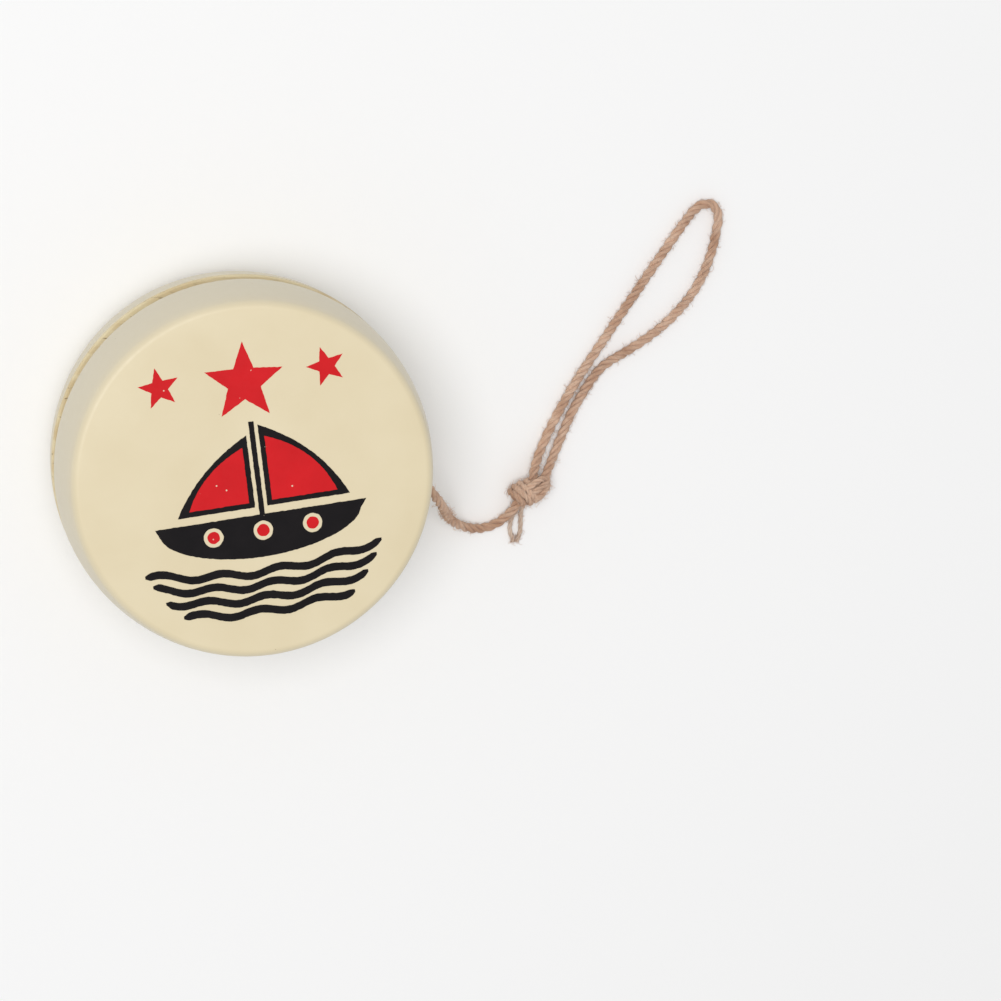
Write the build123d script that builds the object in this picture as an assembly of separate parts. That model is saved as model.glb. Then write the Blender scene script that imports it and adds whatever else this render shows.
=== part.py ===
from build123d import *
import math
import os

# A small wooden yo-yo lying on its rear half, axle upright along +Z, with its cotton
# string wound in the gap and the free end laid out on the surface beside it.
# Origin: centre of the rear face, on the axle's axis.  Millimetres.

# The two turned wooden halves
rim_radius = 29.0           # widest radius, at the gap
half_thickness = 12.0       # inner face to outer flat face
side_draft = 1.7            # how much the side has drawn in where it meets the flat face
shoulder_round = 1.3        # round between the flat face and the side
inner_edge_round = 0.35     # eased edge at the mouth of the gap
string_gap = 4.0            # clear width between the inner faces
face_wall = 2.4             # wood left between the blind bore and the flat face

# The glued axle dowel
axle_radius = 4.0
glue_clearance = 0.03       # radial room for glue in the bore
glue_pocket = 0.8           # room behind each end of the dowel
axle_end_chamfer = 0.6

# The string
string_diameter = 1.6
axle_running_clearance = 0.05   # radial room between the dowel and the loop that turns on it
winding_layers = 6
turns_side_by_side = 2
layer_pitch = 1.4           # a twisted string beds into the layer below
contact_bite = 0.05         # how far touching stretches of string press into each other

# The knot that closes the finger loop
knot_length = 8.0
knot_thickness = 5.0
knot_centre_x = 49.0
knot_centre_y = -7.1
knot_turn = 27.0            # degrees from +X to the knot's long axis
knot_floor_room = 0.05

# Worked out from the sizes above
mid_height = half_thickness + string_gap / 2
string_radius = string_diameter / 2
loop_line_radius = axle_radius + axle_running_clearance + string_radius
winding_inner_radius = loop_line_radius + string_radius - contact_bite
winding_outer_radius = loop_line_radius + winding_layers * layer_pitch + string_radius
winding_width = turns_side_by_side * string_diameter
knot_height = knot_thickness / 2 + knot_floor_room
lying_height = string_radius    # line of a string that lies on the surface

# Routes of the loose string.  An arc at each corner takes up to this share of a run.
run_share = 0.45

# From the winding, out through the gap, down to the surface and round into the knot
lead_route = [
    (6.2, 11.7, mid_height),
    (13.6, 8.4, mid_height),
    (20.2, 4.6, mid_height),
    (25.4, 0.6, mid_height),
    (29.2, -3.4, mid_height),
    (31.9, -6.6, 12.8),
    (33.8, -9.1, 8.8),
    (35.3, -11.1, 4.9),
    (37.7, -13.0, 2.0),
    (41.1, -13.9, lying_height + 0.1),
    (44.3, -13.0, lying_height),
    (46.6, -10.7, 1.3),
    (47.5, -8.5, 2.2),
]

# Out of the knot, up one limb, over the tight fold at the far end and back to the knot
finger_route = [
    (49.3, -6.5, 2.8),
    (49.6, -4.0, 2.0),
    (50.5, -1.2, 1.2),
    (51.9, 2.1, lying_height),
    (53.5, 5.6, lying_height),
    (55.3, 9.2, lying_height),
    (59.4, 16.0, lying_height),
    (64.3, 23.8, lying_height),
    (69.0, 31.2, lying_height),
    (72.4, 36.5, lying_height),
    (74.6, 39.6, lying_height),
    (77.0, 40.2, lying_height),
    (78.5, 38.4, lying_height),
    (78.2, 35.4, lying_height),
    (77.5, 31.6, lying_height),
    (75.9, 27.0, lying_height),
    (72.9, 22.6, lying_height),
    (68.8, 18.7, lying_height),
    (64.4, 15.7, lying_height),
    (60.3, 13.3, lying_height),
    (58.0, 9.9, lying_height),
    (56.4, 6.4, lying_height),
    (55.2, 3.1, lying_height),
    (54.0, -0.2, 1.0),
    (52.5, -3.3, 1.8),
    (51.2, -6.0, 2.6),
]

# The cut end that hangs out of the knot
tail_route = [
    (49.3, -8.8, 2.1),
    (48.5, -10.9, 1.3),
    (47.8, -13.3, lying_height),
    (47.5, -16.0, lying_height),
]


def turned_half():
    """One half as it comes off the lathe: inner face on z = 0, flat face above, blind bore."""
    shoulder = (rim_radius - side_draft, half_thickness)
    with BuildPart() as half:
        with BuildSketch(Plane.XZ):
            with BuildLine():
                Polyline((0, half_thickness), (0, 0), (rim_radius, 0))
                TangentArc((rim_radius, 0), shoulder, tangent=(0, 1))
                Line(shoulder, (0, half_thickness))
            section = make_face()
            fillet(section.vertices().sort_by_distance(shoulder)[0], shoulder_round)
        revolve(axis=Axis.Z)
        inner_rim = half.edges().filter_by(GeomType.CIRCLE).sort_by(Axis.Z)[0]
        fillet(inner_rim, inner_edge_round)
        bore_depth = half_thickness - face_wall
        with Locations((0, 0, bore_depth / 2)):
            Cylinder(axle_radius + glue_clearance, bore_depth, mode=Mode.SUBTRACT)
    return half.part


def front_half():
    """The half that carries the print, above the gap."""
    return Pos(0, 0, mid_height + string_gap / 2) * turned_half()


def rear_half():
    """The plain half that the yo-yo lies on."""
    return Pos(0, 0, mid_height - string_gap / 2) * Rot(180, 0, 0) * turned_half()


def axle():
    """Dowel across the gap, glued into both blind bores."""
    length = string_gap + 2 * (half_thickness - face_wall - glue_pocket)
    dowel = Cylinder(axle_radius, length)
    dowel = chamfer(dowel.edges().filter_by(GeomType.CIRCLE), axle_end_chamfer)
    return Pos(0, 0, mid_height) * dowel


def axle_loop():
    """The string's loop round the dowel, which the dowel turns in."""
    return Pos(0, 0, mid_height) * Torus(loop_line_radius, string_radius)


def string_winding():
    """All the wound turns as one ring with rounded outer edges."""
    ring = Cylinder(winding_outer_radius, winding_width)
    ring = fillet(ring.edges().filter_by(GeomType.CIRCLE), string_radius)
    ring -= Cylinder(winding_inner_radius, winding_width)
    return Pos(0, 0, mid_height) * ring


def corner_radii(points):
    """The largest tangent arc that each corner's two runs leave room for."""
    radii = []
    for before, corner, after in zip(points, points[1:], points[2:]):
        run_in = corner - before
        run_out = after - corner
        half_turn = math.radians(run_in.get_angle(run_out)) / 2
        radii.append(run_share * min(run_in.length, run_out.length) / math.tan(half_turn))
    return radii


def string_tube(name, route):
    """A plain tube of the string's diameter along straight runs and tangent arcs."""
    points = [Vector(*point) for point in route]
    radii = corner_radii(points)
    path = FilletPolyline(*points, radius=radii)
    start = Plane(origin=path @ 0, z_dir=path % 0)
    tube = sweep(start * Circle(string_radius), path=path)
    expected = math.pi * string_radius**2 * path.length
    print(name, "radii", [round(radius, 1) for radius in radii])
    print(name, "length", round(path.length, 1), "volume share", round(tube.volume / expected, 4))
    return tube


def loop_knot():
    """The overhand knot as a plain egg lying along its long axis."""
    with BuildPart() as knot:
        with BuildSketch():
            Ellipse(knot_length / 2, knot_thickness / 2)
            split(bisect_by=Plane.XZ, keep=Keep.BOTTOM)
        revolve(axis=Axis.X)
    return Pos(knot_centre_x, knot_centre_y, knot_height) * Rot(0, 0, knot_turn) * knot.part


pieces = {
    "front_half": front_half(),
    "rear_half": rear_half(),
    "axle": axle(),
    "axle_loop": axle_loop(),
    "string_winding": string_winding(),
    "string_lead": string_tube("string_lead", lead_route),
    "loop_knot": loop_knot(),
    "finger_loop": string_tube("finger_loop", finger_route),
    "knot_tail": string_tube("knot_tail", tail_route),
}

os.makedirs("parts", exist_ok=True)
for node, solid in pieces.items():
    export_step(solid, f"parts/{node}.step")
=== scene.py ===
"""Looks of a small wooden yo-yo that lies on its rear half beside its finger loop.

Everything is in metres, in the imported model's frame: +Z runs along the axle, from the rear
half that rests on the surface to the printed front half.  Sizes that belong to the looks
alone are written in millimetres and turned into metres by `MM`.
"""

import logging
import math
from dataclasses import dataclass, field
from enum import Enum
from typing import Iterable, Sequence

import bmesh
import bpy
import numpy as np
from mathutils import Matrix, Vector, noise
from mathutils.geometry import delaunay_2d_cdt


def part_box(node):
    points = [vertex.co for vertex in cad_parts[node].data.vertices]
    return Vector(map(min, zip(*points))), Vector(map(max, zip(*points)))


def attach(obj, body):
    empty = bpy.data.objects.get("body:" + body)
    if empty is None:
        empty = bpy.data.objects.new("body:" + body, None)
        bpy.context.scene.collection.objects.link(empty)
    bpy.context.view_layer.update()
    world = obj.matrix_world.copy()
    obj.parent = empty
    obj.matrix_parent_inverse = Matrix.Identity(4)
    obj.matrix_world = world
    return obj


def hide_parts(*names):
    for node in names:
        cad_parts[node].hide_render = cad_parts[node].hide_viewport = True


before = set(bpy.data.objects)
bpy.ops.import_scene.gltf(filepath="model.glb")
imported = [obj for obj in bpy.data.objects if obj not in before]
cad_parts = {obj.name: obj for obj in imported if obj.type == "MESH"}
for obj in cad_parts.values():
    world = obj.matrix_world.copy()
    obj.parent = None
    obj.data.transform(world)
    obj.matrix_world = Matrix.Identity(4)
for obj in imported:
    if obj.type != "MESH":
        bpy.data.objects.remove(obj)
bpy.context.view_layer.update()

MM = 0.001
FULL_TURN = 2 * math.pi
GRAIN_TURN = math.radians(12)
NOISE_MIDDLE = (0.3, 0.7)
NOISE_SEED = 1
LOG = logging.getLogger("yo-yo")

Colour = tuple[float, float, float, float]
Socket = bpy.types.NodeSocket
Point = tuple[float, float, float]
Range = tuple[float, float]


class Body(Enum):
    """The two rigid bodies that the pieces ride on."""

    STRING = "string"
    SPOOL = "spool"


class Slot(Enum):
    """The record's material slots."""

    PAINT = "painted_wood"
    WOOD = "bare_wood"
    COTTON = "cotton_string"
    RED = "red_print"
    BLACK = "black_print"


class Space(Enum):
    """What a finish's pattern is laid out on."""

    OBJECT = "Object"
    STRAND = "UV"


# --------------------------------------------------------------------------------------
# Node helpers and finishes
# --------------------------------------------------------------------------------------


def add_node(
    tree: bpy.types.NodeTree, kind: str, feeds: dict[str | int, object], **settings: object
) -> bpy.types.Node:
    """Adds a node to a tree.

    Args:
        tree: the tree.
        kind: the node's type.
        feeds: a socket or a plain value for each input, by its name or number.
        settings: the node's own options, set before its inputs.

    Returns:
        The node.
    """
    node = tree.nodes.new(kind)
    for name, value in settings.items():
        setattr(node, name, value)
    for name, value in feeds.items():
        if isinstance(value, bpy.types.NodeSocket):
            tree.links.new(value, node.inputs[name])
        else:
            node.inputs[name].default_value = value
    return node


class ShaderGraph:
    """A material with one Principled shader, and short methods that add pattern nodes."""

    def __init__(self, name: str) -> None:
        """Starts an empty material.

        Args:
            name: the material's name.
        """
        self.material = bpy.data.materials.new(name)
        self.material.use_nodes = True
        self.tree = self.material.node_tree
        self.tree.nodes.clear()
        self.shader = add_node(self.tree, "ShaderNodeBsdfPrincipled", {})
        add_node(self.tree, "ShaderNodeOutputMaterial", {"Surface": self.shader.outputs["BSDF"]})
        self.place = add_node(self.tree, "ShaderNodeTexCoord", {})

    def coordinates(
        self, space: Space = Space.OBJECT, scale: Point = (1.0, 1.0, 1.0), turn: float = 0.0
    ) -> Socket:
        """Pattern coordinates, scaled per axis and turned about Z.

        Args:
            space: what the pattern is laid out on.
            scale: repeats per metre, or per unit of the strand's own map.
            turn: radians about Z.

        Returns:
            The vector socket.
        """
        feeds = {"Scale": scale, "Rotation": (0.0, 0.0, turn)}
        feeds["Vector"] = self.place.outputs[space.value]
        return add_node(self.tree, "ShaderNodeMapping", feeds).outputs["Vector"]

    def noise(self, vector: Socket, scale: float, detail: float = 3.0, warp: float = 0.0) -> Socket:
        """Soft random pattern from 0 to 1.

        Args:
            vector: pattern coordinates.
            scale: size of the pattern in those coordinates.
            detail: octaves.
            warp: distortion.

        Returns:
            The value socket.
        """
        feeds = {"Vector": vector, "Scale": scale, "Detail": detail, "Distortion": warp}
        return add_node(self.tree, "ShaderNodeTexNoise", feeds).outputs["Fac"]

    def spots(self, vector: Socket, scale: float) -> Socket:
        """Distance to the nearest of many scattered spots.

        Args:
            vector: pattern coordinates.
            scale: spots per unit.

        Returns:
            The value socket.
        """
        feeds = {"Vector": vector, "Scale": scale}
        return add_node(self.tree, "ShaderNodeTexVoronoi", feeds).outputs["Distance"]

    def rings(self, vector: Socket, scale: float, warp: float = 1.2) -> Socket:
        """Rings round Z, as a turning tool leaves them.

        Args:
            vector: pattern coordinates.
            scale: how close the rings are.
            warp: distortion.

        Returns:
            The value socket.
        """
        feeds = {"Vector": vector, "Scale": scale, "Distortion": warp, "Detail": 2.0}
        kind = {"wave_type": "RINGS", "rings_direction": "Z"}
        return add_node(self.tree, "ShaderNodeTexWave", feeds, **kind).outputs["Fac"]

    def reach(self, vector: Socket) -> Socket:
        """Distance of a point from the origin of its pattern coordinates."""
        length = add_node(self.tree, "ShaderNodeVectorMath", {0: vector}, operation="LENGTH")
        return length.outputs["Value"]

    def spread(self, value: Socket, given: Range, to: Range = (0.0, 1.0)) -> Socket:
        """Maps one range of a value onto another, and holds it there.

        Args:
            value: the value socket.
            given: the range that it has, or the part of it that counts.
            to: the new range.

        Returns:
            The value socket.
        """
        feeds = {"Value": value, "From Min": given[0], "From Max": given[1]}
        feeds |= {"To Min": to[0], "To Max": to[1]}
        return add_node(self.tree, "ShaderNodeMapRange", feeds).outputs["Result"]

    def times(self, first: Socket, second: Socket) -> Socket:
        """Product of two values."""
        feeds = {0: first, 1: second}
        return add_node(self.tree, "ShaderNodeMath", feeds, operation="MULTIPLY").outputs["Value"]

    def blend(self, share: Socket, first: Colour | Socket, second: Colour | Socket) -> Socket:
        """Colour between two others.

        Args:
            share: 0 gives the first, 1 the second.
            first: a colour or a colour socket.
            second: a colour or a colour socket.

        Returns:
            The colour socket.
        """
        feeds = {"Factor": share, 6: first, 7: second}
        return add_node(self.tree, "ShaderNodeMix", feeds, data_type="RGBA").outputs[2]

    def relief(self, height: Socket, depth: float, strength: float = 1.0) -> None:
        """Adds bump over whatever relief there already is.

        Args:
            height: the value socket.
            depth: metres of relief that a height of 1 stands for.
            strength: how much of it shows.
        """
        normal = self.shader.inputs["Normal"]
        feeds = {"Height": height, "Strength": strength, "Distance": depth}
        if normal.is_linked:
            feeds["Normal"] = normal.links[0].from_socket
        self.tree.links.new(add_node(self.tree, "ShaderNodeBump", feeds).outputs["Normal"], normal)

    def feed(self, socket: str, value: Socket | float | Colour) -> None:
        """Links a pattern to a shader socket, or sets a plain value on it.

        Args:
            socket: the shader input's name.
            value: what goes in.
        """
        if isinstance(value, bpy.types.NodeSocket):
            self.tree.links.new(value, self.shader.inputs[socket])
        else:
            self.shader.inputs[socket].default_value = value


@dataclass(frozen=True)
class CreamPaint:
    """Satin cream lacquer over sanded wood."""

    colour: Colour = (0.775, 0.672, 0.455, 1.0)
    shade: Colour = (0.735, 0.627, 0.41, 1.0)
    # painted shade: the greyer, darker colour that the turned side gets in place of its shading
    side_shade: Colour = (0.705, 0.635, 0.475, 1.0)
    dust: Colour = (0.50, 0.41, 0.27, 1.0)
    side_shade_reach: Range = (26.6 * MM, 28.0 * MM)
    cloud_scale: float = 70.0
    clouds: Range = (0.35, 0.7)
    dust_scale: float = 420.0
    dust_size: Range = (0.045, 0.03)
    dusty_scale: float = 160.0
    dusty: Range = (0.62, 0.66)
    smudge_scale: float = 900.0
    roughness: Range = (0.42, 0.52)
    specular: float = 0.5
    coat: float = 0.2
    coat_roughness: float = 0.4
    grain: Point = (60.0, 900.0, 900.0)
    grain_depth: float = 0.02 * MM
    grain_strength: float = 0.35
    peel_scale: float = 1500.0
    peel_depth: float = 0.012 * MM
    peel_strength: float = 0.5

    def material(self) -> bpy.types.Material:
        """Builds the finish: faint clouds, painted shade that makes the side greyer and darker,
        grain, dust and orange peel.

        Returns:
            The material.
        """
        graph = ShaderGraph("cream_paint")
        place = graph.coordinates()
        clouds = graph.spread(graph.noise(place, self.cloud_scale, 4.0), self.clouds)
        # painted shade: past the flat face's edge the colour turns greyer and darker, standing in
        # for the shading of the turned side
        from_axis = graph.reach(graph.coordinates(scale=(1.0, 1.0, 0.0)))
        side = graph.spread(from_axis, self.side_shade_reach)
        colour = graph.blend(side, graph.blend(clouds, self.colour, self.shade), self.side_shade)
        speck = graph.times(
            graph.spread(graph.spots(place, self.dust_scale), self.dust_size),
            graph.spread(graph.noise(place, self.dusty_scale, 1.0), self.dusty),
        )
        graph.feed("Base Color", graph.blend(speck, colour, self.dust))
        smudges = graph.noise(place, self.smudge_scale)
        graph.feed("Roughness", graph.spread(smudges, NOISE_MIDDLE, self.roughness))
        graph.feed("Specular IOR Level", self.specular)
        graph.feed("Coat Weight", self.coat)
        graph.feed("Coat Roughness", self.coat_roughness)
        along_grain = graph.coordinates(scale=self.grain, turn=GRAIN_TURN)
        graph.relief(graph.noise(along_grain, 1.0, 2.0), self.grain_depth, self.grain_strength)
        peel = graph.noise(place, self.peel_scale, 2.0)
        graph.relief(peel, self.peel_depth, self.peel_strength)
        return graph.material


@dataclass(frozen=True)
class BareWood:
    """Sanded pale hardwood with growth bands, pores and darker flecks."""

    pale: Colour = (0.82, 0.72, 0.48, 1.0)
    warm: Colour = (0.69, 0.55, 0.32, 1.0)
    fleck: Colour = (0.24, 0.16, 0.08, 1.0)
    band_scale: Point = (25.0, 420.0, 420.0)
    band_warp: float = 0.6
    bands: Range = (0.35, 0.68)
    pore_scale: Point = (500.0, 3200.0, 3200.0)
    pores: Range = (0.35, 0.75)
    fleck_scale: float = 0.55
    flecks: Range = (0.63, 0.72)
    roughness: Range = (0.62, 0.8)
    specular: float = 0.3
    grain_depth: float = 0.05 * MM
    pore_strength: float = 0.6
    band_strength: float = 0.4
    tool_mark_scale: float = 520.0
    tool_mark_depth: float = 0.02 * MM
    tool_mark_strength: float = 0.5

    def material(self) -> bpy.types.Material:
        """Builds the finish.

        Returns:
            The material.
        """
        graph = ShaderGraph("bare_wood")
        along = graph.coordinates(scale=self.band_scale, turn=GRAIN_TURN)
        close = graph.coordinates(scale=self.pore_scale, turn=GRAIN_TURN)
        bands = graph.spread(graph.noise(along, 1.0, warp=self.band_warp), self.bands)
        pores = graph.spread(graph.noise(close, 1.0, 2.0), self.pores)
        flecks = graph.spread(graph.noise(close, self.fleck_scale), self.flecks)
        colour = graph.blend(bands, self.pale, self.warm)
        graph.feed("Base Color", graph.blend(flecks, colour, self.fleck))
        graph.feed("Roughness", graph.spread(pores, (0.0, 1.0), self.roughness))
        graph.feed("Specular IOR Level", self.specular)
        graph.relief(pores, self.grain_depth, self.pore_strength)
        graph.relief(bands, self.grain_depth, self.band_strength)
        tool_marks = graph.rings(graph.coordinates(), self.tool_mark_scale)
        graph.relief(tool_marks, self.tool_mark_depth, self.tool_mark_strength)
        return graph.material


@dataclass(frozen=True)
class PrintInk:
    """Screen-printed ink, with pinholes that let the paint through."""

    name: str
    colour: Colour
    deep: Colour
    bare: Colour = (0.80, 0.66, 0.50, 1.0)
    density_scale: float = 260.0
    density: Range = (0.3, 0.75)
    pinholes: float = 0.6
    pinhole_scale: float = 620.0
    pinhole_size: Range = (0.10, 0.06)
    holed_scale: float = 700.0
    holed_from: Range = (0.66, 0.44)
    holed_edge: float = 0.02
    smudge_scale: float = 1800.0
    roughness: Range = (0.42, 0.56)
    gloss: float = 0.18
    tooth_scale: float = 2600.0
    tooth_depth: float = 0.012 * MM
    tooth_strength: float = 0.5

    def material(self) -> bpy.types.Material:
        """Builds the finish.

        Returns:
            The material.
        """
        graph = ShaderGraph(self.name)
        place = graph.coordinates()
        density = graph.spread(graph.noise(place, self.density_scale, 4.0), self.density)
        least, most = self.holed_from
        edge = least + (most - least) * self.pinholes
        hole = graph.times(
            graph.spread(graph.spots(place, self.pinhole_scale), self.pinhole_size),
            graph.spread(graph.noise(place, self.holed_scale, 0.0), (edge, edge + self.holed_edge)),
        )
        colour = graph.blend(density, self.colour, self.deep)
        graph.feed("Base Color", graph.blend(hole, colour, self.bare))
        smudges = graph.noise(place, self.smudge_scale, 2.0)
        graph.feed("Roughness", graph.spread(smudges, NOISE_MIDDLE, self.roughness))
        graph.feed("Specular IOR Level", self.gloss)
        tooth = graph.noise(place, self.tooth_scale, 2.0)
        graph.relief(tooth, self.tooth_depth, self.tooth_strength)
        return graph.material


@dataclass(frozen=True)
class TwistedCotton:
    """Unbleached cotton yarn: fibres along each ply, with dirt in some of the grooves."""

    name: str = "twisted_cotton"
    pale: Colour = (0.74, 0.52, 0.385, 1.0)
    warm: Colour = (0.535, 0.32, 0.21, 1.0)
    deep: Colour = (0.30, 0.155, 0.09, 1.0)
    fibre_scale: Point = (420.0, 13.0, 1.0)
    fibres: Range = (0.32, 0.72)
    patch_scale: float = 300.0
    patches: Range = (0.35, 0.7)
    groove_scale: float = 1.7
    grooves: Range = (0.58, 0.72)
    roughness: float = 0.92
    specular: float = 0.15
    sheen: float = 0.35
    sheen_roughness: float = 0.5
    sheen_tint: Colour = (1.0, 0.92, 0.86, 1.0)
    fibre_depth: float = 0.09 * MM
    fibre_strength: float = 0.8

    def material(self) -> bpy.types.Material:
        """Builds the finish.

        Returns:
            The material.
        """
        graph = ShaderGraph(self.name)
        along = graph.coordinates(Space.STRAND, self.fibre_scale)
        patches = graph.noise(graph.coordinates(), self.patch_scale, 2.0)
        grooves = graph.spread(graph.noise(along, self.groove_scale, 2.0), self.grooves)
        colour = graph.blend(graph.spread(patches, self.patches), self.pale, self.warm)
        graph.feed("Base Color", graph.blend(grooves, colour, self.deep))
        graph.feed("Roughness", self.roughness)
        graph.feed("Specular IOR Level", self.specular)
        graph.feed("Sheen Weight", self.sheen)
        graph.feed("Sheen Roughness", self.sheen_roughness)
        graph.feed("Sheen Tint", self.sheen_tint)
        fibres = graph.spread(graph.noise(along, 1.0), self.fibres)
        graph.relief(fibres, self.fibre_depth, self.fibre_strength)
        return graph.material


@dataclass(frozen=True)
class StudioCard:
    """The plain pale surface that everything lies on."""

    colour: Colour = (0.95, 0.95, 0.95, 1.0)
    mottle_scale: float = 4.0
    roughness: Range = (0.85, 0.95)
    specular: float = 0.1

    def material(self) -> bpy.types.Material:
        """Builds the finish.

        Returns:
            The material.
        """
        graph = ShaderGraph("studio_card")
        graph.feed("Base Color", self.colour)
        mottle = graph.noise(graph.coordinates(), self.mottle_scale, 2.0)
        graph.feed("Roughness", graph.spread(mottle, NOISE_MIDDLE, self.roughness))
        graph.feed("Specular IOR Level", self.specular)
        return graph.material


# --------------------------------------------------------------------------------------
# Mesh helpers
# --------------------------------------------------------------------------------------


def new_piece(name: str, mesh: bpy.types.Mesh, finish: bpy.types.Material) -> bpy.types.Object:
    """Puts a finished mesh in the scene.

    Args:
        name: the piece's name.
        mesh: its mesh, already in place.
        finish: its material.

    Returns:
        The object, at the origin.
    """
    mesh.materials.clear()
    mesh.materials.append(finish)
    piece = bpy.data.objects.new(name, mesh)
    bpy.context.scene.collection.objects.link(piece)
    return piece


def grid_mesh(name: str, rows: np.ndarray, step: float, smooth_angle: float) -> bpy.types.Mesh:
    """A closed skin over rows of points that each go once round; its ends close to a point.

    Args:
        name: the mesh's name.
        rows: rows x columns x 3 places.
        step: distance between rows, for the map.
        smooth_angle: edges sharper than this, in radians, stay sharp.

    Returns:
        The mesh, with a map whose U is the distance along, in metres, and V the share of a turn.
    """
    count, sides = rows.shape[:2]
    bm = bmesh.new()
    uv = bm.loops.layers.uv.new("strand")
    verts = [[bm.verts.new(place) for place in row] for row in rows]
    for i in range(count - 1):
        for j in range(sides):
            beside = (j + 1) % sides
            near, far = verts[i], verts[i + 1]
            face = bm.faces.new((near[j], near[beside], far[beside], far[j]))
            corners = ((j, i), (j + 1, i), (j + 1, i + 1), (j, i + 1))
            for loop, (across, along) in zip(face.loops, corners):
                loop[uv].uv = (along * step, across / sides)
    for row in (verts[0][::-1], verts[-1]):
        middle = bm.verts.new(sum((v.co for v in row), Vector()) / sides)
        for j in range(sides):
            bm.faces.new((row[j], row[(j + 1) % sides], middle))
    bmesh.ops.recalc_face_normals(bm, faces=bm.faces)
    mesh = bpy.data.meshes.new(name)
    bm.to_mesh(mesh)
    bm.free()
    mesh.shade_smooth()
    mesh.set_sharp_from_angle(angle=smooth_angle)
    return mesh


def arc(middle: Range, radius: float, start: float, end: float, steps: int) -> list[Range]:
    """Points on an arc, from one step after its start to its end.

    Args:
        middle: its centre.
        radius: its radius.
        start: angle it starts from, in radians.
        end: angle it ends at.
        steps: number of points.

    Returns:
        The points.
    """
    angles = [start + (end - start) * i / steps for i in range(1, steps + 1)]
    across, up = middle
    return [(across + radius * math.cos(a), up + radius * math.sin(a)) for a in angles]


def lathe_rows(profile: Sequence[Range], sides: int) -> np.ndarray:
    """Spins a profile of (radius, height) about the axle's axis.

    Args:
        profile: the profile's points in order.
        sides: points round each ring.

    Returns:
        rows x sides x 3 places.
    """
    turn = np.arange(sides) * FULL_TURN / sides
    around = np.stack([np.cos(turn), np.sin(turn)], axis=1)
    rows = []
    for radius, height in profile:
        ring = np.empty((sides, 3))
        ring[:, :2] = around * radius
        ring[:, 2] = height
        rows.append(ring)
    return np.array(rows)


def spline_points(name: str, points: Sequence[Point], resolution: int) -> np.ndarray:
    """Reads the smooth line of a NURBS spline through its control points.

    Args:
        name: the curve's name.
        points: control points, in metres.
        resolution: steps between control points.

    Returns:
        The line's points, in order.
    """
    curve = bpy.data.curves.new(name, "CURVE")
    curve.dimensions = "3D"
    curve.resolution_u = resolution
    spline = curve.splines.new("NURBS")
    spline.points.add(len(points) - 1)
    for target, point in zip(spline.points, points):
        target.co = (*point, 1.0)
    spline.order_u = 3
    spline.use_endpoint_u = True
    holder = bpy.data.objects.new(name, curve)
    bpy.context.scene.collection.objects.link(holder)
    bpy.context.view_layer.update()
    graph = bpy.context.evaluated_depsgraph_get()
    line = bpy.data.meshes.new_from_object(holder.evaluated_get(graph))
    places = np.array([v.co for v in line.vertices])
    bpy.data.objects.remove(holder)
    bpy.data.curves.remove(curve)
    bpy.data.meshes.remove(line)
    return places


def even_steps(line: np.ndarray, step: float) -> np.ndarray:
    """The same line with its points an even distance apart.

    Args:
        line: points in order.
        step: distance between the new points.

    Returns:
        The new points.
    """
    runs = np.linalg.norm(np.diff(line, axis=0), axis=1)
    lengths = np.concatenate([[0.0], np.cumsum(runs)])
    count = max(2, int(round(lengths[-1] / step)) + 1)
    along = np.linspace(0.0, lengths[-1], count)
    return np.stack([np.interp(along, lengths, line[:, axis]) for axis in range(3)], axis=1)


def carried_frames(line: np.ndarray) -> tuple[np.ndarray, np.ndarray, np.ndarray]:
    """Directions along a line and two across it that don't twist.

    Args:
        line: points in order.

    Returns:
        Tangents, first and second cross directions, one of each per point.
    """
    tangents = np.gradient(line, axis=0)
    tangents /= np.linalg.norm(tangents, axis=1)[:, None]
    first = np.empty_like(tangents)
    side = np.cross(tangents[0], (0.0, 0.0, 1.0))
    if np.linalg.norm(side) < 1e-6:
        side = np.array((1.0, 0.0, 0.0))
    for i, tangent in enumerate(tangents):
        side = side - tangent * side.dot(tangent)
        side = side / np.linalg.norm(side)
        first[i] = side
    return tangents, first, np.cross(tangents, first)


# --------------------------------------------------------------------------------------
# The turned halves
# --------------------------------------------------------------------------------------


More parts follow.
